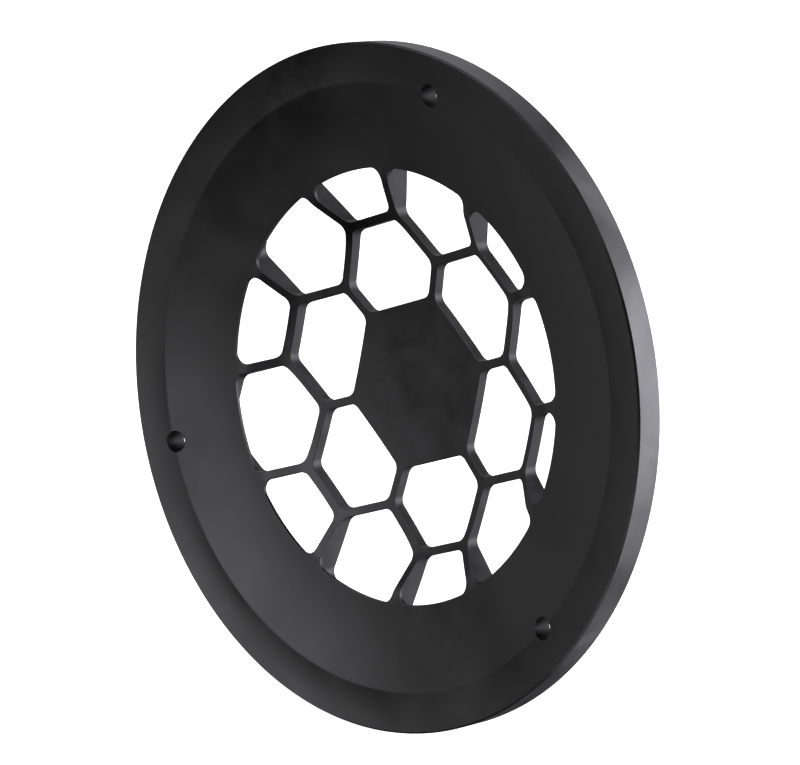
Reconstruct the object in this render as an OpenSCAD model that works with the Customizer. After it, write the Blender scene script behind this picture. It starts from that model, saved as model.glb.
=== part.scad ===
// Dished honeycomb grid: a screw-on front ring with a machined honeycomb core behind its lip.
// Units are millimetres. The grid stands upright: its axis is Y, its front faces -Y and +Z is up.
// The origin is the centre of the screw circle, in the plane of the seating face.
// The modules draw it lying down, with the front towards +Z, and stand_up() turns it.

/* [Front ring] */
// Outside diameter
outer_d = 180; // [178:1:184]
// Thickness of the rim, from the seating face to the front edge
rim_t = 8; // [8:0.25:9]
// Bevel round the front edge
rim_bevel = 0.5; // [0.3:0.1:1]
// Radius of the ridge between the outer band and the dished face
ridge_r = 79.5; // [79:0.25:81]
// Depth of the ridge below the front edge
ridge_drop = 1.8; // [1.2:0.1:2.4]
// Radius of the hollow in the outer band
band_hollow_r = 60; // [50:5:80]
// Radius of the hollow in the dished face
face_hollow_r = 148; // [136:4:160]
// Thickness of the lip round the window
lip_t = 1; // [0.8:0.1:1.4]

/* [Window] */
// Radius of the window
window_r = 57.3; // [56:0.1:58]
// Depth of the window's edge below the front edge
window_drop = 6.7; // [6.2:0.1:7.2]
// Radius of the corners where the window meets a cell wall
window_corner_r = 3; // [1:0.25:3.5]

/* [Honeycomb core] */
// Distance between the centres of neighbouring cells
pitch = 29.3; // [28.5:0.1:30]
// Thickness of the cell walls
wall_t = 2.3; // [1.8:0.1:3]
// Width across the flats of the solid hexagon in the middle
hub_flats = 42.1; // [38:0.1:44]
// Radius in the corners of the cells
cell_corner_r = 3; // [1:0.25:4]
// Depth of the middle of the core below the front edge
dish_drop = 18.2; // [17:0.1:19]
// Radius of the core's dish
dish_r = 230; // [210:5:260]
// Thickness of the core in the middle
core_t = 3; // [2.5:0.1:4]
// Radius at which the flank rises out of the dish
flank_r = 43.7; // [42:0.1:45]
// Slope of the flank
flank_angle = 33.4; // [30:0.2:36]
// Radius of the blend at the foot of the flank
foot_blend_r = 20; // [10:1:24]
// Radius of the blend over the shoulder of the flank
shoulder_blend_r = 8; // [3:0.5:10]

/* [Seat of the core] */
// Outside radius of the core
core_r = 75.6; // [75.2:0.1:75.8]
// Radius of the step that the retaining ring clamps
ledge_r = 73.6; // [73.4:0.1:73.8]

/* [Retaining ring and fasteners] */
// Outside radius of the retaining ring
retainer_r = 86; // [85:0.25:87]
// Thickness of the retaining ring
retainer_t = 2; // [1.8:0.1:2.2]
// Gap round the retaining ring
retainer_gap = 0.1; // [0.05:0.05:0.2]
// Thread of the retaining screws
screw_d = 3; // [2.5:0.5:3]
// Head diameter of the retaining screws
screw_head_d = 5.8; // [5:0.1:6]
// Length of the retaining screws
screw_len = 4.8; // [4:0.2:5]
// Diameter of the locating pins
pin_d = 2.5; // [2:0.5:3]
// Gap between the core and the ring that it drops into
fit_gap = 0.03; // [0.02:0.01:0.05]

/* [Mounting holes] */
// Diameter of the circle of the mounting holes
mount_pcd = 158.5; // [158:0.5:160]
// Diameter of the mounting holes
mount_hole_d = 5.8; // [5.3:0.1:6.4]

/* [Hidden] */
$fn = 180;
SCREWS = 6;
PINS = 2;
MOUNT_HOLES = 3;

ANODISED = "#232325";
STEEL = "#8d8f92";

outer_r = outer_d / 2;
mount_r = mount_pcd / 2;
// Heights in front of and behind the whole grid
top_z = rim_t + 1;
low_z = rim_t - dish_drop - core_t - 2;
cell_flats = pitch - wall_t;
hub_apothem = hub_flats / 2;
// Small bevel on the edges at the back
edge = 0.1;
// How far the fasteners lie below the seating face
sunk = 0.1;
// Height of the front end of the pins
pin_top = 3.6;

// Where the line through p along the unit vector u first comes within d of c
function first_within(p, u, c, d) =
    let (m = p - c, b = m * u)
    p - u * (b + sqrt(b * b - (m * m - d * d)));

// Centre of the circle of radius r through p and q, on the left of the way from p to q
function centre_through(p, q, r) =
    let (half = norm(q - p) / 2)
    (p + q) / 2 + sqrt(r * r - half * half) * left_of(q - p);

function unit(v) = v / norm(v);
function left_of(v) = unit([-v[1], v[0]]);

// The face of the grid, as points and circles in the plane of radius and height
rim_edge = [outer_r - rim_bevel, rim_t];
ridge = [ridge_r, rim_t - ridge_drop];
window_edge = [window_r, rim_t - window_drop];
band_centre = centre_through(ridge, rim_edge, band_hollow_r);
face_centre = centre_through(window_edge, ridge, face_hollow_r);
dish_centre = [0, rim_t - dish_drop + dish_r];
flank_foot = [flank_r, dish_centre[1] - sqrt(dish_r * dish_r - flank_r * flank_r)];
flank_way = [cos(flank_angle), sin(flank_angle)];
flank_up = left_of(flank_way);
shoulder = first_within(flank_foot, flank_way, face_centre, face_hollow_r);
// The blend at the foot lies inside the dish and above the flank
foot_centre = first_within(
    flank_foot + flank_up * foot_blend_r, flank_way, dish_centre, dish_r - foot_blend_r);
// The blend over the shoulder lies under the face and under the flank
shoulder_centre = first_within(
    shoulder - flank_up * shoulder_blend_r, flank_way, face_centre, face_hollow_r + shoulder_blend_r);

// Angles of the cells, from +X towards +Z
function near_cell_at(i) = 60 * i;
function gap_cell_at(i) = 60 * i + 30;
function mount_at(i) = 120 * i + 90;
function screw_at(i) = 60 * i;
function pin_at(i) = 120 * i - 90;

module stand_up() {
    rotate([90, 0, 0]) children();
}

module at(angle, radius, z = 0) {
    rotate(angle) translate([radius, 0, z]) children();
}

// The strip of the plane of radius and height between two radii
module strip(r0, r1, z0 = low_z, z1 = top_z) {
    translate([r0, z0]) square([r1 - r0, z1 - z0]);
}

module disc_at(centre, r) {
    translate(centre) circle(r, $fn = 720);
}

// What lies between a blend circle and the corner that it rounds
module blend_corner(centre, r, corner, way_a, way_b) {
    difference() {
        polygon([
            centre,
            centre + unit(way_a) * r * 1.2,
            centre + (corner - centre) * 1.5,
            centre + unit(way_b) * r * 1.2
        ]);
        disc_at(centre, r);
    }
}

// Everything in front of the face
module front_space_2d() {
    intersection() {
        disc_at(band_centre, band_hollow_r);
        strip(ridge_r, rim_edge[0]);
    }
    polygon([
        rim_edge,
        [outer_r, rim_t - rim_bevel],
        [outer_r + 1, rim_t - rim_bevel],
        [outer_r + 1, top_z],
        [rim_edge[0], top_z]
    ]);
    intersection() {
        disc_at(face_centre, face_hollow_r);
        strip(shoulder[0], ridge_r);
    }
    blend_corner(shoulder_centre, shoulder_blend_r, shoulder, face_centre - shoulder_centre, flank_up);
    difference() {
        intersection() {
            disc_at(dish_centre, dish_r);
            polygon([
                [0, low_z],
                [flank_foot[0] - 10, low_z],
                flank_foot - flank_way * 10,
                shoulder,
                [shoulder[0], top_z],
                [0, top_z]
            ]);
        }
        blend_corner(foot_centre, foot_blend_r, flank_foot, foot_centre - dish_centre, -flank_up);
    }
}

// Everything in front of the back of the lip
module lip_space_2d() {
    intersection() {
        disc_at(face_centre, face_hollow_r + lip_t);
        strip(0, outer_r);
    }
}

module ring_2d() {
    difference() {
        union() {
            intersection() {
                lip_space_2d();
                strip(window_r - 8, core_r + 1);
            }
            strip(core_r, outer_r, retainer_t);
            strip(retainer_r + retainer_gap, outer_r, 0);
        }
        front_space_2d();
        polygon([[outer_r - edge, -1], [outer_r - edge, 0], [outer_r, edge], [outer_r + 1, edge], [outer_r + 1, -1]]);
    }
}

module core_2d() {
    difference() {
        intersection() {
            disc_at(dish_centre, dish_r + core_t);
            strip(0, core_r - fit_gap);
        }
        intersection() {
            lip_space_2d();
            strip(window_r - fit_gap, core_r + 1);
        }
        strip(ledge_r, core_r + 1, low_z, retainer_t);
        front_space_2d();
    }
}

module retainer_2d() {
    polygon([
        [ledge_r + retainer_gap, edge],
        [ledge_r + retainer_gap + edge, 0],
        [retainer_r - edge, 0],
        [retainer_r, edge],
        [retainer_r, retainer_t],
        [ledge_r + retainer_gap, retainer_t]
    ]);
}

// A regular cell, or one whose inner side is moved out to the hub, as a list of corners
function cell_corners(flats, cut = undef) =
    let (a = flats / 2, s = a / sin(60), x = is_undef(cut) ? -a : cut)
    [
        [a, -s / 2], [a, s / 2], [0, s],
        [x, s - (-x) * tan(30)], [x, -s + (-x) * tan(30)], [0, -s]
    ];

module cell_2d(cut = undef, shrink = 0) {
    offset(r = cell_corner_r, $fn = 24) offset(delta = -cell_corner_r)
        polygon(cell_corners(cell_flats - 2 * shrink, cut));
}

// The twelve cells that run on behind the lip
module outer_cells(shrink = 0) {
    for (i = [0 : 5]) {
        at(near_cell_at(i), 2 * pitch) cell_2d(shrink = shrink);
        at(gap_cell_at(i), sqrt(3) * pitch) rotate(30) cell_2d(shrink = shrink);
    }
}

// The six cells round the hub, each cut short by it
module inner_cells() {
    for (i = [0 : 5])
        at(near_cell_at(i), pitch) cell_2d(cut = hub_apothem - pitch);
}

// What the ring leaves open inside its window: the cells, and the notches for the cell walls
module window_2d() {
    for (i = [0 : 5]) {
        rounded_opening() at(near_cell_at(i), 2 * pitch) polygon(cell_corners(cell_flats));
        rounded_opening() at(gap_cell_at(i), sqrt(3) * pitch) rotate(30) polygon(cell_corners(cell_flats));
    }
    difference() {
        circle(window_r);
        outer_cells(shrink = fit_gap);
    }
}

// The part of a cell inside the window, with its corners rounded
module rounded_opening() {
    offset(r = window_corner_r, $fn = 24) offset(delta = -window_corner_r) intersection() {
        circle(window_r);
        children();
    }
}

module mount_holes() {
    for (i = [0 : MOUNT_HOLES - 1])
        at(mount_at(i), mount_r, -1) cylinder(d = mount_hole_d, h = rim_t + 2, $fn = 64);
}

module pin(i, r, z0, z1) {
    at(pin_at(i), core_r, z0) cylinder(r = r, h = z1 - z0, $fn = 48);
}

module front_ring() {
    color(ANODISED) stand_up() difference() {
        rotate_extrude() ring_2d();
        translate([0, 0, low_z]) linear_extrude(top_z - low_z) window_2d();
        mount_holes();
        for (i = [1 : SCREWS])
            at(screw_at(i), mount_r, 0) cylinder(d = screw_d, h = screw_len + 0.2, $fn = 48);
        for (i = [1 : PINS])
            pin(i, pin_d / 2, 0, pin_top + 0.1);
    }
}

module honeycomb_core() {
    color(ANODISED) stand_up() difference() {
        rotate_extrude() core_2d();
        translate([0, 0, low_z]) linear_extrude(top_z - low_z) {
            inner_cells();
            outer_cells();
        }
        for (i = [1 : PINS])
            pin(i, pin_d / 2, 0, pin_top + 0.1);
    }
}

module retaining_ring() {
    color(ANODISED) stand_up() difference() {
        rotate_extrude() retainer_2d();
        mount_holes();
        for (i = [1 : SCREWS]) {
            at(screw_at(i), mount_r, -1) cylinder(d = screw_d + 0.2, h = retainer_t + 2, $fn = 48);
            at(screw_at(i), mount_r, -0.1)
                cylinder(d1 = screw_head_d + 0.4, d2 = 0, h = screw_head_d / 2 + 0.2, $fn = 48);
        }
        for (i = [1 : PINS])
            pin(i, pin_d / 2, -1, retainer_t + 1);
    }
}

// A countersunk screw with a hexagon socket, its head level with the back of the ring
module retaining_screw(i) {
    color(STEEL) stand_up() at(screw_at(i), mount_r, sunk) difference() {
        union() {
            cylinder(d1 = screw_head_d, d2 = screw_d, h = (screw_head_d - screw_d) / 2, $fn = 64);
            cylinder(d = screw_d, h = screw_len - sunk, $fn = 64);
        }
        translate([0, 0, -1]) cylinder(d = screw_d * 0.72, h = 1 + screw_d * 0.36, $fn = 6);
    }
}

module locating_pin(i) {
    color(STEEL) stand_up() pin(i, pin_d / 2, sunk, pin_top);
}

front_ring();
honeycomb_core();
retaining_ring();
for (i = [1 : SCREWS]) retaining_screw(i);
for (i = [1 : PINS]) locating_pin(i);
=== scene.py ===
"""Dished honeycomb grid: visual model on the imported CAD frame. Metres, front towards -Y."""

import math

import bpy
from mathutils import Matrix, Vector
from mathutils.geometry import delaunay_2d_cdt


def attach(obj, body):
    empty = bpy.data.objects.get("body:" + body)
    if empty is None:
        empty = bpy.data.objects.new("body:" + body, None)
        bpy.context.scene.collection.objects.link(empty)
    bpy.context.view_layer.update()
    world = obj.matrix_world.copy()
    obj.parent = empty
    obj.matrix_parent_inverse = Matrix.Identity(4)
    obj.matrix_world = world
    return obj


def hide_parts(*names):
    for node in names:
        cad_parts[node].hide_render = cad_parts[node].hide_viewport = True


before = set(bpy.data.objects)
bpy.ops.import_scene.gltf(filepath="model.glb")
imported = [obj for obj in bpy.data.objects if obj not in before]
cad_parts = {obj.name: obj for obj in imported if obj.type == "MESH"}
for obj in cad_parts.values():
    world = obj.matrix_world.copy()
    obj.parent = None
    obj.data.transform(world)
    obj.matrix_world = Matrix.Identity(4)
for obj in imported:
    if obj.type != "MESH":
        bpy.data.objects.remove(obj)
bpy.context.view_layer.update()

MM = 0.001

# ---------------------------------------------------------------- profile, in mm
RIM_R, RIM_H, BEVEL = 90.0, 8.0, 0.5
RIDGE_R, RIDGE_H = 79.5, 6.2
WINDOW_R, WINDOW_H = 57.3, 1.3
PITCH, WALL, HUB = 29.3, 2.3, 21.05
CELL = (PITCH - WALL) / 2
CORE_R, LEDGE_R = 75.57, 73.6
BORE_R, STEP_R, STEP_H = 75.6, 86.1, 2.0
HOLE_CIRCLE, HOLE_R = 79.25, 2.9
CORNER_R = 3.0  # corners of the cells and of the openings
# Hollows of the outer band and of the face, the dish, and its flank
BAND_HOLLOW_R, FACE_HOLLOW_R, LIP_T = 60, 148, 1
DISH_R, DISH_DROP, CORE_T = 230, 18.2, 3
FLANK_R, FLANK_ANGLE = 43.7, math.radians(33.4)
FOOT_R, SHOULDER_R = 20, 8
# Broken edges: round the openings, round their backs, round the holes, on the ridge,
# and the small chamfers of the rim's back and the retaining ring
EDGE = 0.22
BACK_EDGE = 0.3 * EDGE
HOLE_EDGE = 0.15
RIDGE_SOFT = 0.35
CHAMFER = 0.1
SLANT = 0.707  # each part of a normal that leans at 45 degrees


def arc_centre(p, q, r):
    """Centre of the circle of radius r through p and q, on the left of the way from p to q."""
    dx, dy = q[0] - p[0], q[1] - p[1]
    full = math.hypot(dx, dy)
    up = math.sqrt(r * r - full * full / 4)
    return (p[0] + q[0]) / 2 - dy / full * up, (p[1] + q[1]) / 2 + dx / full * up


def first_within(p, u, c, d):
    """Where the line through p along u first comes within d of c."""
    mx, my = p[0] - c[0], p[1] - c[1]
    b = mx * u[0] + my * u[1]
    t = -b - math.sqrt(b * b - (mx * mx + my * my - d * d))
    return p[0] + u[0] * t, p[1] + u[1] * t


BAND_C = arc_centre((RIDGE_R, RIDGE_H), (RIM_R - BEVEL, RIM_H), BAND_HOLLOW_R)
FACE_C = arc_centre((WINDOW_R, WINDOW_H), (RIDGE_R, RIDGE_H), FACE_HOLLOW_R)
DISH_C = RIM_H - DISH_DROP + DISH_R
FOOT = (FLANK_R, DISH_C - math.sqrt(DISH_R ** 2 - FLANK_R ** 2))
WAY = (math.cos(FLANK_ANGLE), math.sin(FLANK_ANGLE))
UP = (-WAY[1], WAY[0])
SHOULDER_REACH = FACE_HOLLOW_R + SHOULDER_R
FOOT_REACH = DISH_R - FOOT_R
SHOULDER_C = first_within(
    (FOOT[0] - UP[0] * SHOULDER_R, FOOT[1] - UP[1] * SHOULDER_R), WAY, FACE_C, SHOULDER_REACH)
FOOT_C = first_within(
    (FOOT[0] + UP[0] * FOOT_R, FOOT[1] + UP[1] * FOOT_R), WAY, (0, DISH_C), FOOT_REACH)
# Radii at which one stretch of the profile hands over to the next
TOUCH_FACE = SHOULDER_C[0] + (FACE_C[0] - SHOULDER_C[0]) * SHOULDER_R / SHOULDER_REACH
TOUCH_FLANK_TOP = SHOULDER_C[0] + UP[0] * SHOULDER_R
TOUCH_FLANK_LOW = FOOT_C[0] - UP[0] * FOOT_R
TOUCH_DISH = FOOT_C[0] + FOOT_C[0] * FOOT_R / FOOT_REACH


def front(r):
    """Height of the front face above the seating face at radius r."""
    if r >= RIM_R - BEVEL:
        return RIM_H - (r - (RIM_R - BEVEL))
    if r >= RIDGE_R:
        return BAND_C[1] - math.sqrt(BAND_HOLLOW_R ** 2 - (r - BAND_C[0]) ** 2)
    if r >= TOUCH_FACE:
        return FACE_C[1] - math.sqrt(FACE_HOLLOW_R ** 2 - (r - FACE_C[0]) ** 2)
    if r >= TOUCH_FLANK_TOP:
        return SHOULDER_C[1] + math.sqrt(SHOULDER_R ** 2 - (r - SHOULDER_C[0]) ** 2)
    if r >= TOUCH_FLANK_LOW:
        return FOOT[1] + (r - FOOT[0]) * WAY[1] / WAY[0]
    if r >= TOUCH_DISH:
        return FOOT_C[1] - math.sqrt(FOOT_R ** 2 - (r - FOOT_C[0]) ** 2)
    return DISH_C - math.sqrt(DISH_R ** 2 - r * r)


def back(r):
    return DISH_C - math.sqrt((DISH_R + CORE_T) ** 2 - r * r)


def lip_back(r):
    return FACE_C[1] - math.sqrt((FACE_HOLLOW_R + LIP_T) ** 2 - (r - FACE_C[0]) ** 2)


def slope(f, r):
    return (f(r + 0.05) - f(r - 0.05)) / 0.1 if r > 0.06 else 0.0


def front_slope(r):
    if r > RIM_R - BEVEL - 0.051:
        return slope(front, RIM_R - BEVEL - 0.06)
    # The ridge is broken very slightly, as a tool leaves it
    if abs(r - RIDGE_R) < RIDGE_SOFT:
        t = (r - RIDGE_R + RIDGE_SOFT) / (2 * RIDGE_SOFT)
        return (1 - t) * slope(front, RIDGE_R - 0.06) + t * slope(front, RIDGE_R + 0.06)
    return slope(front, r)


# ---------------------------------------------------------------- outlines, in mm
def apart(p, c):
    return math.hypot(p[0] - c[0], p[1] - c[1])


def polar(angle, r):
    a = math.radians(angle)
    return r * math.cos(a), r * math.sin(a)


def circle(c, r, n, start=0.0):
    return [(c[0] + r * math.cos(2 * math.pi * (k + start) / n),
             c[1] + r * math.sin(2 * math.pi * (k + start) / n)) for k in range(n)]


def line_cut(poly, n, d):
    """The convex polygon kept where n . p <= d."""
    out = []
    for i, p in enumerate(poly):
        q = poly[(i + 1) % len(poly)]
        a, b = n[0] * p[0] + n[1] * p[1] - d, n[0] * q[0] + n[1] * q[1] - d
        if a <= 1e-9:
            out.append(p)
        if (a < -1e-9 and b > 1e-9) or (a > 1e-9 and b < -1e-9):
            t = a / (a - b)
            out.append((p[0] + (q[0] - p[0]) * t, p[1] + (q[1] - p[1]) * t))
    return out


def hexagon(angle, r, turn, size=CELL):
    c = polar(angle, r)
    s = size / math.cos(math.radians(30))
    return [(c[0] + s * math.cos(math.radians(angle + turn + 30 + 60 * k)),
             c[1] + s * math.sin(math.radians(angle + turn + 30 + 60 * k))) for k in range(6)]


def inset(poly, by):
    """A convex polygon, counter-clockwise, moved in by a distance."""
    out = poly
    for i, p in enumerate(poly):
        q = poly[(i + 1) % len(poly)]
        full = math.hypot(q[0] - p[0], q[1] - p[1])
        if full < 1e-9:
            continue
        n = ((q[1] - p[1]) / full, -(q[0] - p[0]) / full)
        out = line_cut(out, n, n[0] * p[0] + n[1] * p[1] - by)
    return out


def clean(poly):
    out = []
    for p in poly:
        if not out or math.hypot(p[0] - out[-1][0], p[1] - out[-1][1]) > 1e-4:
            out.append(p)
    if math.hypot(out[0][0] - out[-1][0], out[0][1] - out[-1][1]) < 1e-4:
        out.pop()
    return out


def swollen(poly, r, step, reach=2.0):
    """The polygon's rounded outline at distance r, with points at most `reach` apart."""
    out = []
    n = len(poly)
    for i in range(n):
        o, p, q = poly[i - 1], poly[i], poly[(i + 1) % n]
        # Outward normals of the edges before and after p
        a0 = math.atan2(-(p[0] - o[0]), p[1] - o[1])
        a1 = math.atan2(-(q[0] - p[0]), q[1] - p[1])
        while a1 < a0 - 1e-9:
            a1 += 2 * math.pi
        k = max(1, math.ceil((a1 - a0) / math.radians(step)))
        for j in range(k + 1):
            a = a0 + (a1 - a0) * j / k
            out.append((p[0] + r * math.cos(a), p[1] + r * math.sin(a)))
        full = math.hypot(q[0] - p[0], q[1] - p[1])
        m = int(full / reach)
        for j in range(1, m + 1):
            t = j / (m + 1)
            out.append((p[0] + (q[0] - p[0]) * t + r * math.cos(a1),
                        p[1] + (q[1] - p[1]) * t + r * math.sin(a1)))
    return clean(out)


def cell_outline(angle, r, turn, cut=False):
    """A cell with rounded corners, as (core polygon, radius) for swollen()."""
    h = hexagon(angle, r, turn)
    if cut:
        n = (-math.cos(math.radians(angle)), -math.sin(math.radians(angle)))
        h = line_cut(h, n, -HUB)
    return inset(h, CORNER_R), CORNER_R


def opening_outline(angle, r, turn):
    """The part of an outer cell inside the window, with rounded corners."""
    h = hexagon(angle, r, turn)
    n = 240
    for k in range(n):
        a = math.radians(angle - 60 + 120 * (k + 0.5) / n)
        h = line_cut(h, (math.cos(a), math.sin(a)), WINDOW_R)
    return inset(h, CORNER_R), CORNER_R


NEAR = [cell_outline(60 * i, PITCH, 0, True) for i in range(6)]
OUTER = [cell_outline(60 * i, 2 * PITCH, 0) for i in range(6)]
OUTER += [cell_outline(60 * i + 30, math.sqrt(3) * PITCH, 30) for i in range(6)]
OPEN = [opening_outline(60 * i, 2 * PITCH, 0) for i in range(6)]
OPEN += [opening_outline(60 * i + 30, math.sqrt(3) * PITCH, 30) for i in range(6)]
HOLES = [polar(a, HOLE_CIRCLE) for a in (90, 210, 330)]
SCREWS = [polar(60 * i, HOLE_CIRCLE) for i in range(1, 7)]
PINS = [polar(a, BORE_R) for a in (30, 150)]


def distance(p, shape):
    """Signed distance from p to a swollen convex polygon, and the way to its nearest point."""
    poly, r = shape[:2]
    best, way, inside = 1e9, (1.0, 0.0), True
    for i, a in enumerate(poly):
        b = poly[(i + 1) % len(poly)]
        ex, ey = b[0] - a[0], b[1] - a[1]
        px, py = p[0] - a[0], p[1] - a[1]
        full = ex * ex + ey * ey
        if full < 1e-12:
            continue
        if ex * py - ey * px < 0:
            inside = False
        t = max(0.0, min(1.0, (px * ex + py * ey) / full))
        dx, dy = ex * t - px, ey * t - py
        d = math.hypot(dx, dy)
        if d < best:
            best = d
            way = (dx / d, dy / d) if d > 1e-9 else way
    if inside:
        return -best - r, (-way[0], -way[1])
    return best - r, way


def disc(p, c, r):
    dx, dy = c[0] - p[0], c[1] - p[1]
    d = math.hypot(dx, dy)
    return d - r, (dx / d, dy / d) if d > 1e-9 else (1.0, 0.0)


# ---------------------------------------------------------------- solids between two heights
def in_front(x, y, h):
    """Drawn lying with the front towards +h, it stands with the front towards -Y."""
    return x * MM, -h * MM, y * MM


def solid(name, loops, points, label, top, bottom, top_n, bottom_n, wall_smooth=40):
    """Every labelled triangle of the plan runs from bottom to top, with walls between."""
    coords, edges = [], []
    for loop in loops:
        k = len(coords)
        coords += [Vector(p) for p in loop]
        edges += [(k + i, k + (i + 1) % len(loop)) for i in range(len(loop))]
    coords += [Vector(p) for p in points]
    verts, _, tris, _, _, _ = delaunay_2d_cdt(coords, edges, [], 0, 1e-4, False)
    plan = []
    for t in tris:
        x = (verts[t[0]][0] + verts[t[1]][0] + verts[t[2]][0]) / 3
        y = (verts[t[0]][1] + verts[t[1]][1] + verts[t[2]][1]) / 3
        kind = label((x, y))
        if kind is None:
            continue
        a, b, c = (verts[i] for i in t)
        if (b[0] - a[0]) * (c[1] - a[1]) - (b[1] - a[1]) * (c[0] - a[0]) < 0:
            t = (t[0], t[2], t[1])
        plan.append((tuple(t), kind))
    index, places, faces, normals = {}, [], [], []

    def vertex(i, h):
        key = (i, round(h, 4))
        if key not in index:
            index[key] = len(places)
            places.append(in_front(verts[i][0], verts[i][1], h))
        return index[key]

    heights = {}

    def span(i, kind):
        if (i, kind) not in heights:
            p = (verts[i][0], verts[i][1])
            heights[i, kind] = (bottom(p, kind), top(p, kind))
        return heights[i, kind]

    def face(corners, ns):
        ids = [vertex(i, h) for i, h in corners]
        keep = [k for k in range(len(ids)) if ids[k] != ids[k - 1]]
        if len(set(ids)) < 3 or len(keep) < 3:
            return
        faces.append([ids[k] for k in keep])
        normals.extend(ns[k] for k in keep)

    sides = {}
    known = {}

    def normal(i, kind, up):
        if (i, kind, up) not in known:
            p = (verts[i][0], verts[i][1])
            known[i, kind, up] = (top_n if up else bottom_n)(p, kind)
        return known[i, kind, up]

    for t, kind in plan:
        face([(i, span(i, kind)[1]) for i in t], [normal(i, kind, True) for i in t])
        r = t[::-1]
        face([(i, span(i, kind)[0]) for i in r], [normal(i, kind, False) for i in r])
        for k in range(3):
            sides.setdefault((t[k], t[(k + 1) % 3]), []).append(kind)
    walls = []
    for (i, j), kinds in sides.items():
        kind = kinds[0]
        other = sides.get((j, i), [None])[0]
        if other == kind:
            continue
        (bi, ti), (bj, tj) = span(i, kind), span(j, kind)
        dx, dy = verts[j][0] - verts[i][0], verts[j][1] - verts[i][1]
        full = math.hypot(dx, dy)
        n = (dy / full, -dx / full)
        if other is None:
            walls.append((i, j, bi, bj, ti, tj, n))
            continue
        (obi, oti), (obj, otj) = span(i, other), span(j, other)
        if max(ti - oti, tj - otj) > 1e-4:
            walls.append((i, j, min(oti, ti), min(otj, tj), ti, tj, n))
        if max(obi - bi, obj - bj) > 1e-4:
            walls.append((i, j, bi, bj, max(obi, bi), max(obj, bj), n))
    around = {}
    for w in walls:
        for i in w[:2]:
            around.setdefault(i, []).append(w[6])
    limit = math.cos(math.radians(wall_smooth))
    for i, j, bi, bj, ti, tj, n in walls:
        ns = []
        for v in (i, j):
            s = [m for m in around[v] if m[0] * n[0] + m[1] * n[1] > limit]
            sx, sy = sum(m[0] for m in s), sum(m[1] for m in s)
            full = math.hypot(sx, sy)
            ns.append((sx / full, sy / full, 0.0))
        face([(i, bi), (j, bj), (j, tj), (i, ti)], [ns[0], ns[1], ns[1], ns[0]])
    mesh = bpy.data.meshes.new(name)
    mesh.from_pydata(places, [], faces)
    for p in mesh.polygons:
        p.use_smooth = True
    mesh.normals_split_custom_set([Vector((n[0], -n[2], n[1])).normalized() for n in normals])
    mesh.update()
    obj = bpy.data.objects.new(name, mesh)
    bpy.context.scene.collection.objects.link(obj)
    return obj


def rounding(d, e):
    """How far a rounded edge of radius e has dropped at distance d from it, and its lean."""
    if d >= e:
        return 0.0, 0.0
    s = 1 - max(d, 0.0) / e
    return e * (1 - math.sqrt(max(0.0, 1 - s * s))), s


def leaning(n, way, s):
    """The surface normal n turned towards the opening by a share s."""
    c = math.sqrt(max(0.0, 1 - s * s))
    return n[0] * c + way[0] * s, n[1] * c + way[1] * s, n[2] * c


def surface_normal(p, s):
    r = math.hypot(*p)
    if r < 1e-6:
        return 0.0, 0.0, 1.0
    k = 1 / math.sqrt(1 + s * s)
    return -s * p[0] / r * k, -s * p[1] / r * k, k


def nearest_edge(p, shapes, reach):
    best, way = reach, (1.0, 0.0)
    for s in shapes:
        if apart(p, s[2]) > s[3] + reach:
            continue
        d, w = distance(p, s) if s[0] else disc(p, s[2], s[1])
        if d < best:
            best, way = d, w
    return best, way


def framed(shape):
    """A shape with its middle and its reach, so that far points are skipped."""
    poly, r = shape[:2]
    cx = sum(p[0] for p in poly) / len(poly)
    cy = sum(p[1] for p in poly) / len(poly)
    return poly, r, (cx, cy), max(math.hypot(p[0] - cx, p[1] - cy) for p in poly) + r


EDGES = [framed(s) for s in NEAR + OPEN]
HOLE_EDGES = [([], HOLE_R, c, HOLE_R) for c in HOLES]
CELLS = [framed(s) for s in NEAR + OUTER]
OUTER_CELLS = [framed(s) for s in OUTER]


def inside_any(p, shapes):
    for s in shapes:
        if apart(p, s[2]) < s[3] and distance(p, s)[0] < 0:
            return True
    return False


def top_face(p):
    """Height and normal of the front at p, with its broken edges."""
    r = min(math.hypot(*p), RIM_R)
    h, n = front(r), surface_normal(p, front_slope(r))
    if r < WINDOW_R + 2:
        d, way = nearest_edge(p, EDGES, EDGE)
        if d < EDGE:
            drop, s = rounding(d, EDGE)
            return h - drop, leaning(n, way, s)
    elif r > 70:
        d, way = nearest_edge(p, HOLE_EDGES, HOLE_EDGE)
        if d < HOLE_EDGE:
            drop, s = rounding(d, HOLE_EDGE)
            return h - drop, leaning(n, way, s)
    return h, n


def rings(radii, spacing):
    out = []
    for k, r in enumerate(radii):
        n = max(6, int(2 * math.pi * r / spacing))
        out += circle((0, 0), r, n, 0.5 * (k % 2))
    return out


def scatter(radii, spacing, keep):
    return [p for p in rings(radii, spacing) if keep(p)]


# ---------------------------------------------------------------- honeycomb core
PIN_R, PIN_HOLE_TOP = 1.25, 3.7


def in_pin(p):
    return any(apart(p, c) < PIN_R for c in PINS)


def core_label(p):
    r = math.hypot(*p)
    if r > CORE_R or inside_any(p, CELLS):
        return None
    if r < WINDOW_R:
        return "web"
    if in_pin(p):
        return "pin"
    return "ledge" if r > LEDGE_R else "hidden"


def core_top(p, kind):
    if kind == "web":
        return top_face(p)[0]
    return lip_back(min(math.hypot(*p), CORE_R))


def core_top_n(p, kind):
    if kind == "web":
        return top_face(p)[1]
    return surface_normal(p, slope(lip_back, math.hypot(*p)))


def core_bottom(p, kind):
    if kind == "pin":
        return PIN_HOLE_TOP
    if kind == "ledge":
        return STEP_H
    r = math.hypot(*p)
    d, _ = nearest_edge(p, CELLS, BACK_EDGE)
    return back(r) + max(0.0, BACK_EDGE - d)


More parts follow.
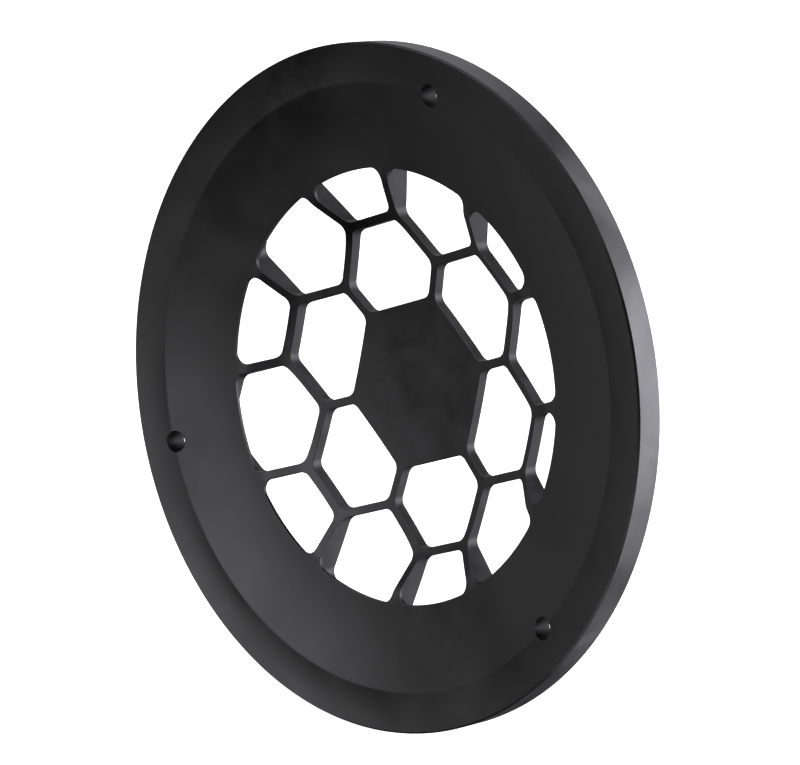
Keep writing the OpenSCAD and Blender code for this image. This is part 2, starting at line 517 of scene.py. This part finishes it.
def core_bottom_n(p, kind):
    if kind in ("pin", "ledge"):
        return 0.0, 0.0, -1.0
    n = surface_normal(p, slope(back, math.hypot(*p)))
    n = (-n[0], -n[1], -n[2])
    d, way = nearest_edge(p, CELLS, BACK_EDGE)
    return leaning(n, way, 0.7) if d < BACK_EDGE - 1e-4 else n


def steps(a, b, n):
    return [a + (b - a) * k / n for k in range(n + 1)]


core_loops = [circle((0, 0), CORE_R, 384), circle((0, 0), LEDGE_R, 384),
              circle((0, 0), WINDOW_R, 720)]
for poly, r in NEAR + OUTER:
    for d in (0.0, BACK_EDGE, EDGE):
        core_loops.append(swollen(poly, r + d, 7.5, 1.0))
for poly, r in OPEN:
    for d in (BACK_EDGE, EDGE):
        core_loops.append(swollen(poly, r + d, 7.5, 1.0))
core_loops += [circle(c, PIN_R, 40) for c in PINS]
core_points = scatter(
    steps(1.5, 24, 10) + steps(25, 38, 9) + steps(39, 57, 30) + steps(60, 72, 5), 1.6,
    lambda p: nearest_edge(p, CELLS, 0.5)[0] >= 0.5 and not inside_any(p, CELLS))
core = solid("Honeycomb_core", core_loops, core_points, core_label,
             core_top, core_bottom, core_top_n, core_bottom_n)


# ---------------------------------------------------------------- front ring
SHANK_R, THREAD_TOP = 1.5, 5.0


def ring_label(p):
    r = math.hypot(*p)
    if r > RIM_R or any(apart(p, c) < HOLE_R for c in HOLES):
        return None
    if r < WINDOW_R:
        if inside_any(p, OUTER_CELLS) and not inside_any(p, EDGES):
            return "lip"
        return None
    if in_pin(p):
        return "pin"
    if r < BORE_R:
        return "lip"
    if any(apart(p, c) < SHANK_R for c in SCREWS):
        return "thread"
    if r < STEP_R:
        return "step"
    if r < RIM_R - BEVEL:
        return "rim"
    return "bevel" if r < RIM_R - CHAMFER else "edge"


def ring_top(p, kind):
    return top_face(p)[0]


def ring_top_n(p, kind):
    if kind in ("bevel", "edge"):
        return surface_normal(p, -1.0)
    return top_face(p)[1]


def ring_bottom(p, kind):
    r = math.hypot(*p)
    if kind == "lip":
        return lip_back(r)
    if kind == "edge":
        return max(0.0, r - (RIM_R - CHAMFER))
    return {"pin": PIN_HOLE_TOP, "thread": THREAD_TOP, "step": STEP_H}.get(kind, 0.0)


def ring_bottom_n(p, kind):
    if kind == "lip":
        n = surface_normal(p, slope(lip_back, math.hypot(*p)))
        return -n[0], -n[1], -n[2]
    if kind == "edge":
        n = surface_normal(p, -1.0)
        return n[0], n[1], -n[2]
    return 0.0, 0.0, -1.0


ring_loops = [circle((0, 0), r, n) for r, n in (
    (RIM_R, 720), (RIM_R - CHAMFER, 720), (RIM_R - BEVEL, 720), (STEP_R, 480), (BORE_R, 480),
    (RIDGE_R + RIDGE_SOFT, 600), (RIDGE_R, 600), (RIDGE_R - RIDGE_SOFT, 600), (WINDOW_R, 720))]
for poly, r in OPEN:
    for d in (0.0, BACK_EDGE, EDGE):
        ring_loops.append(swollen(poly, r + d, 7.5, 1.0))
for poly, r in OUTER:
    ring_loops.append(swollen(poly, r, 7.5, 1.0))
for c in HOLES:
    ring_loops += [circle(c, HOLE_R + d, 72) for d in (0.0, 0.05, HOLE_EDGE)]
ring_loops += [circle(c, SHANK_R, 32) for c in SCREWS] + [circle(c, PIN_R, 40) for c in PINS]
ring_points = scatter(
    steps(58.2, 78.6, 17) + steps(81, 88.8, 7), 2.2,
    lambda p: nearest_edge(p, EDGES, 0.5)[0] >= 0.5
    and nearest_edge(p, HOLE_EDGES, 0.5)[0] >= 0.5)
ring = solid("Front_ring", ring_loops, ring_points, ring_label,
             ring_top, ring_bottom, ring_top_n, ring_bottom_n)


# ---------------------------------------------------------------- retaining ring
RET_IN, RET_OUT = 73.7, 86.0
SINK_R, THROUGH_R = 3.0, 1.6


def retainer_label(p):
    r = math.hypot(*p)
    if not RET_IN < r < RET_OUT:
        return None
    if in_pin(p) or any(apart(p, c) < HOLE_R for c in HOLES):
        return None
    for c in SCREWS:
        d = apart(p, c)
        if d < THROUGH_R:
            return None
        if d < SINK_R:
            return "sink"
    return "edge" if r < RET_IN + CHAMFER or r > RET_OUT - CHAMFER else "flat"


def nearest_screw(p):
    return min(SCREWS, key=lambda c: apart(p, c))


def retainer_bottom(p, kind):
    r = math.hypot(*p)
    if kind == "sink":
        c = nearest_screw(p)
        return SINK_R - apart(p, c)
    if kind == "edge":
        return max(0.0, RET_IN + CHAMFER - r, r - (RET_OUT - CHAMFER))
    return 0.0


def retainer_bottom_n(p, kind):
    if kind == "sink":
        c = nearest_screw(p)
        d = apart(p, c)
        return (c[0] - p[0]) / d * SLANT, (c[1] - p[1]) / d * SLANT, -SLANT
    if kind == "edge":
        n = surface_normal(p, -1.0 if math.hypot(*p) > 80 else 1.0)
        return n[0], n[1], -n[2]
    return 0.0, 0.0, -1.0


def flat_up(p, kind):
    return 0.0, 0.0, 1.0


ret_loops = [circle((0, 0), r, 480)
             for r in (RET_IN, RET_IN + CHAMFER, RET_OUT - CHAMFER, RET_OUT)]
ret_loops += [circle(c, HOLE_R, 72) for c in HOLES] + [circle(c, PIN_R, 40) for c in PINS]
ret_loops += [circle(c, r, 48) for c in SCREWS for r in (THROUGH_R, SINK_R)]
retainer = solid("Retaining_ring", ret_loops, rings(steps(75, 85, 4), 4), retainer_label,
                 lambda p, kind: STEP_H, retainer_bottom, flat_up, retainer_bottom_n)


# ---------------------------------------------------------------- screws and pins
HEAD_R, HEAD_EDGE, SCREW_TOP = 2.9, 0.12, 4.8
SOCKET_R, SOCKET_DEPTH, MOUTH, SUNK = 1.08, 1.08, 1.1, 0.1
PIN_EDGE, PIN_TOP = 0.15, 3.6


def screw(i, c):
    turn = 17.0 * i
    socket = [(c[0] + SOCKET_R * math.cos(math.radians(60 * k + turn)),
               c[1] + SOCKET_R * math.sin(math.radians(60 * k + turn))) for k in range(6)]
    mouth = [(c[0] + (p[0] - c[0]) * MOUTH, c[1] + (p[1] - c[1]) * MOUTH) for p in socket]

    def label(p):
        d = apart(p, c)
        if d > HEAD_R:
            return None
        inside = [all((q[0] - o[0]) * (p[1] - o[1]) - (q[1] - o[1]) * (p[0] - o[0]) > 0
                      for o, q in zip(h, h[1:] + h[:1])) for h in (socket, mouth)]
        if inside[0]:
            return "socket"
        if inside[1]:
            return "mouth"
        if d < SHANK_R:
            return "shank"
        return "head" if d < HEAD_R - HEAD_EDGE else "rim"

    def top(p, kind):
        return SCREW_TOP if kind in ("socket", "mouth", "shank") else SUNK + HEAD_R - apart(p, c)

    def low(p, kind):
        d = apart(p, c)
        if kind == "socket":
            return SUNK + SOCKET_DEPTH
        if kind == "mouth":
            u = max(0.0, min(1.0, (hex_reach(p) - SOCKET_R) / (SOCKET_R * 0.1)))
            return SUNK + 0.1 * (1 - u)
        return SUNK + (max(0.0, d - (HEAD_R - HEAD_EDGE)) * 0.4 if kind == "rim" else 0.0)

    def hex_reach(p):
        """Corner radius of the hexagon round the screw's axis that p lies on."""
        best = 0
        for k in range(6):
            t = math.radians(60 * k + turn + 30)
            best = max(best, (p[0] - c[0]) * math.cos(t) + (p[1] - c[1]) * math.sin(t))
        return best / math.cos(math.radians(60) / 2)

    def top_n(p, kind):
        d = apart(p, c)
        if kind in ("socket", "mouth", "shank") or d < 1e-6:
            return 0.0, 0.0, 1.0
        return (p[0] - c[0]) / d * SLANT, (p[1] - c[1]) / d * SLANT, SLANT

    def low_n(p, kind):
        return 0.0, 0.0, -1.0

    loops = [circle(c, HEAD_R, 64), circle(c, HEAD_R - HEAD_EDGE, 64), circle(c, SHANK_R, 48),
             socket, mouth]
    return solid(f"Retaining_screw_{i}", loops, [], label, top, low, top_n, low_n)


def pin(i, c):
    def label(p):
        d = apart(p, c)
        return None if d > PIN_R else ("edge" if d > PIN_R - PIN_EDGE else "end")

    def drop(p):
        return max(0.0, apart(p, c) - (PIN_R - PIN_EDGE))

    def lean(p, kind, z):
        if kind == "end":
            return 0.0, 0.0, z
        d = apart(p, c)
        return (p[0] - c[0]) / d * SLANT, (p[1] - c[1]) / d * SLANT, SLANT * z

    return solid(f"Locating_pin_{i}", [circle(c, PIN_R, 48), circle(c, PIN_R - PIN_EDGE, 48)], [],
                 label, lambda p, kind: PIN_TOP - drop(p), lambda p, kind: SUNK + drop(p),
                 lambda p, kind: lean(p, kind, 1), lambda p, kind: lean(p, kind, -1))


screws = [screw(i, polar(60 * i, HOLE_CIRCLE)) for i in range(1, 7)]
pins = [pin(1, PINS[0]), pin(2, PINS[1])]


# ---------------------------------------------------------------- materials
def material(name):
    m = bpy.data.materials.new(name)
    m.use_nodes = True
    return m, m.node_tree.nodes, m.node_tree.links, m.node_tree.nodes["Principled BSDF"]


def node(nodes, kind, **inputs):
    n = nodes.new(kind)
    for key, value in inputs.items():
        n.inputs[key.replace("_", " ")].default_value = value
    return n


def anodised(name, dark, light, rough, mottle, turned):
    """Black anodising: cloudy sheen, a bead-blasted grain, and faint turning marks."""
    m, nodes, links, shader = material(name)
    shader.inputs["Specular IOR Level"].default_value = 1.0
    shader.inputs["Specular Tint"].default_value = (0.97, 0.95, 1.0, 1.0)
    where = nodes.new("ShaderNodeTexCoord")

    cloud = node(nodes, "ShaderNodeTexNoise", Scale=mottle, Detail=3.0, Roughness=0.55,
                 Distortion=0.6)
    links.new(where.outputs["Object"], cloud.inputs["Vector"])
    sheen = node(nodes, "ShaderNodeMapRange", From_Min=0.3, From_Max=0.7,
                 To_Min=rough[0], To_Max=rough[1])
    links.new(cloud.outputs["Fac"], sheen.inputs["Value"])
    links.new(sheen.outputs["Result"], shader.inputs["Roughness"])

    tone = nodes.new("ShaderNodeValToRGB")
    tone.color_ramp.elements[0].position = 0.35
    tone.color_ramp.elements[0].color = (*dark, 1)
    tone.color_ramp.elements[1].position = 0.68
    tone.color_ramp.elements[1].color = (*light, 1)
    links.new(cloud.outputs["Fac"], tone.inputs["Fac"])
    links.new(tone.outputs["Color"], shader.inputs["Base Color"])

    grain = node(nodes, "ShaderNodeTexNoise", Scale=1900.0, Detail=2.0, Roughness=0.6)
    links.new(where.outputs["Object"], grain.inputs["Vector"])
    blast = node(nodes, "ShaderNodeBump", Strength=0.3, Distance=0.00004)
    links.new(grain.outputs["Fac"], blast.inputs["Height"])
    marks = nodes.new("ShaderNodeTexWave")
    marks.wave_type = "RINGS"
    marks.rings_direction = "Y"
    marks.inputs["Scale"].default_value = 420.0
    marks.inputs["Distortion"].default_value = 0.4
    marks.inputs["Detail"].default_value = 1.0
    links.new(where.outputs["Object"], marks.inputs["Vector"])
    turning = node(nodes, "ShaderNodeBump", Strength=turned, Distance=0.00002)
    links.new(marks.outputs["Fac"], turning.inputs["Height"])
    links.new(blast.outputs["Normal"], turning.inputs["Normal"])
    links.new(turning.outputs["Normal"], shader.inputs["Normal"])
    return m


def steel(name, colour, rough):
    m, nodes, links, shader = material(name)
    shader.inputs["Metallic"].default_value = 1.0
    where = nodes.new("ShaderNodeTexCoord")
    spread = node(nodes, "ShaderNodeTexNoise", Scale=900.0, Detail=3.0, Roughness=0.6)
    links.new(where.outputs["Object"], spread.inputs["Vector"])
    sheen = node(nodes, "ShaderNodeMapRange", From_Min=0.3, From_Max=0.7,
                 To_Min=rough - 0.07, To_Max=rough + 0.08)
    links.new(spread.outputs["Fac"], sheen.inputs["Value"])
    links.new(sheen.outputs["Result"], shader.inputs["Roughness"])
    tone = nodes.new("ShaderNodeValToRGB")
    tone.color_ramp.elements[0].color = (*(c * 0.8 for c in colour), 1)
    tone.color_ramp.elements[1].color = (*colour, 1)
    links.new(spread.outputs["Fac"], tone.inputs["Fac"])
    links.new(tone.outputs["Color"], shader.inputs["Base Color"])
    return m


ring_black = anodised("Ring_anodised", (0.0015, 0.0014, 0.0015), (0.0145, 0.0138, 0.0145),
                      (0.28, 0.45), 30.0, 0.05)
core_black = anodised("Core_anodised", (0.006, 0.0057, 0.0062), (0.019, 0.018, 0.0195),
                      (0.33, 0.46), 90.0, 0.02)
back_black = anodised("Back_anodised", (0.006, 0.0055, 0.0065), (0.011, 0.010, 0.012),
                      (0.36, 0.46), 28.0, 0.12)
screw_steel = steel("Black_oxide_steel", (0.10, 0.10, 0.105), 0.36)
pin_steel = steel("Ground_steel", (0.52, 0.52, 0.53), 0.27)
# Painted shade: the walls of the drilled holes are darker and less glossy than the anodised
# faces, standing in for the shade inside them
hole_painted_shade = anodised("Hole_painted_shade", (0.002, 0.002, 0.002), (0.004, 0.004, 0.004),
                      (0.38, 0.5), 300.0, 0.0)
hole_painted_shade.node_tree.nodes["Principled BSDF"].inputs["Specular IOR Level"].default_value = 0.45
# Painted highlight: the rim's side gets a bright metallic colour in place of black anodising,
# standing in for the highlight along the rim
rim_side_painted_highlight = anodised("Rim_side_painted_highlight", (0.17, 0.171, 0.18), (0.25, 0.251, 0.262),
                      (0.38, 0.46), 40.0, 0.1)
rim_side_painted_highlight.node_tree.nodes["Principled BSDF"].inputs["Metallic"].default_value = 1.0
rim_side_painted_highlight.node_tree.nodes["Principled BSDF"].inputs["Specular IOR Level"].default_value = 0.5

for obj, name, slot, look in (
        [(core, "honeycomb_core", "core_anodised", core_black),
         (ring, "front_ring", "ring_anodised", ring_black),
         (retainer, "retaining_ring", "back_anodised", back_black)]
        + [(o, f"retaining_screw_{i + 1}", "screw_steel", screw_steel)
           for i, o in enumerate(screws)]
        + [(o, f"locating_pin_{i + 1}", "pin_steel", pin_steel) for i, o in enumerate(pins)]):
    obj.data.materials.append(look)
    if obj in (ring, retainer):
        # The side of the rim gets a bright metallic copy of the black anodising, a painted
        # highlight, and the walls of the drilled holes get a darker, duller copy, painted shade
        obj.data.materials.append(rim_side_painted_highlight)
        obj.data.materials.append(hole_painted_shade)
        for f in obj.data.polygons:
            r = math.hypot(f.center.x, f.center.z)
            if r > (RIM_R - 0.05) * MM and abs(f.normal.y) < 0.2:
                f.material_index = 1
            elif r > 70 * MM and any(
                    math.hypot(f.center.x - c[0] * MM, f.center.z - c[1] * MM)
                    < (HOLE_R + 0.02) * MM for c in HOLES):
                f.material_index = 2
    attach(obj, "root")
    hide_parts(name)


# ---------------------------------------------------------------- camera
AZIMUTH, ELEVATION, ROLL = math.radians(40.88), math.radians(17.82), math.radians(10.27)
DISTANCE, ASIDE, ABOVE = 0.9534, 0.007245, 0.002034
AIM = Vector((0, -0.0075, 0))


def placed(axes, place):
    r, u, b = axes
    return Matrix(((r[0], u[0], b[0], place[0]),
                   (r[1], u[1], b[1], place[1]),
                   (r[2], u[2], b[2], place[2]),
                   (0, 0, 0, 1)))


towards = Vector((math.cos(ELEVATION) * math.sin(AZIMUTH),
                  -math.cos(ELEVATION) * math.cos(AZIMUTH),
                  math.sin(ELEVATION))).normalized()
side = Vector((math.cos(AZIMUTH), math.sin(AZIMUTH), 0)).normalized()
over = towards.cross(side)
right = side * math.cos(ROLL) + over * math.sin(ROLL)
up = towards.cross(right)
camera = bpy.data.cameras.new("Camera")
camera.sensor_width = 36
camera.lens = 165.7
camera.clip_start = 0.01
eye = AIM + towards * DISTANCE + right * ASIDE + up * ABOVE
cam = bpy.data.objects.new("Camera", camera)
cam.matrix_world = placed((right, up, towards), eye)
bpy.context.scene.collection.objects.link(cam)
bpy.context.scene.camera = cam

# ---------------------------------------------------------------- floor and light
world = bpy.data.worlds.new("Studio")
bpy.context.scene.world = world
world.use_nodes = True
world.node_tree.nodes["Background"].inputs["Color"].default_value = (1, 1, 1, 1)
world.node_tree.nodes["Background"].inputs["Strength"].default_value = 1.0
# The white backdrop is only seen by the camera: the soft lights below do the lighting
world.cycles_visibility.diffuse = False
world.cycles_visibility.glossy = False

floor_mesh = bpy.data.meshes.new("Floor")
FLOOR_SIDE = 4
low = -RIM_R * MM - 0.0002
floor_mesh.from_pydata([(x * FLOOR_SIDE, y * FLOOR_SIDE, low)
                        for x, y in ((-1, -1), (1, -1), (1, 1), (-1, 1))], [],
                       [(0, 1, 2, 3)])
floor = bpy.data.objects.new("Floor", floor_mesh)
bpy.context.scene.collection.objects.link(floor)
pale, _, _, shader = material("Floor_white")
shader.inputs["Base Color"].default_value = (0.9, 0.9, 0.9, 1)
shader.inputs["Roughness"].default_value = 0.8
shader.inputs["Emission Color"].default_value = (1, 1, 1, 1)
shader.inputs["Emission Strength"].default_value = 1.0
floor_mesh.materials.append(pale)
floor.visible_diffuse = False
floor.visible_glossy = False
floor.visible_shadow = False


def soft_light(name, way, spread, strength, colour=(1, 1, 1)):
    """A soft light a long way off, towards `way`, `spread` degrees across."""
    lamp = bpy.data.lights.new(name, "SUN")
    lamp.angle = math.radians(spread)
    lamp.energy = strength
    lamp.color = colour
    o = bpy.data.objects.new(name, lamp)
    o.rotation_mode = "QUATERNION"
    o.rotation_quaternion = Vector(way).to_track_quat("Z", "Y")
    bpy.context.scene.collection.objects.link(o)


COOL = (0.97, 0.965, 1.0)
# In front
soft_light("Front", (-0.3, -1, 0.3), 60, 0.9)
# On the right, along the rim
soft_light("Key", (1, 0.3, 0.3), 70, 2.4, COOL)
soft_light("Low_right", (1, 0.2, -1), 60, 1.5)
# Behind, above and on the left
soft_light("Back", (0.5, 1, 0.1), 60, 0.3, COOL)
soft_light("Back_left", (-0.5, 1, 0), 60, 0.3)
soft_light("Top", (0.5, 0.2, 1), 60, 1.2)
soft_light("Top_left", (-0.6, 0.2, 1), 40, 1.0)
soft_light("Left", (-1, -0.2, -0.4), 60, 0.2)

view = bpy.context.scene.view_settings
view.view_transform = "Standard"
view.look = "None"
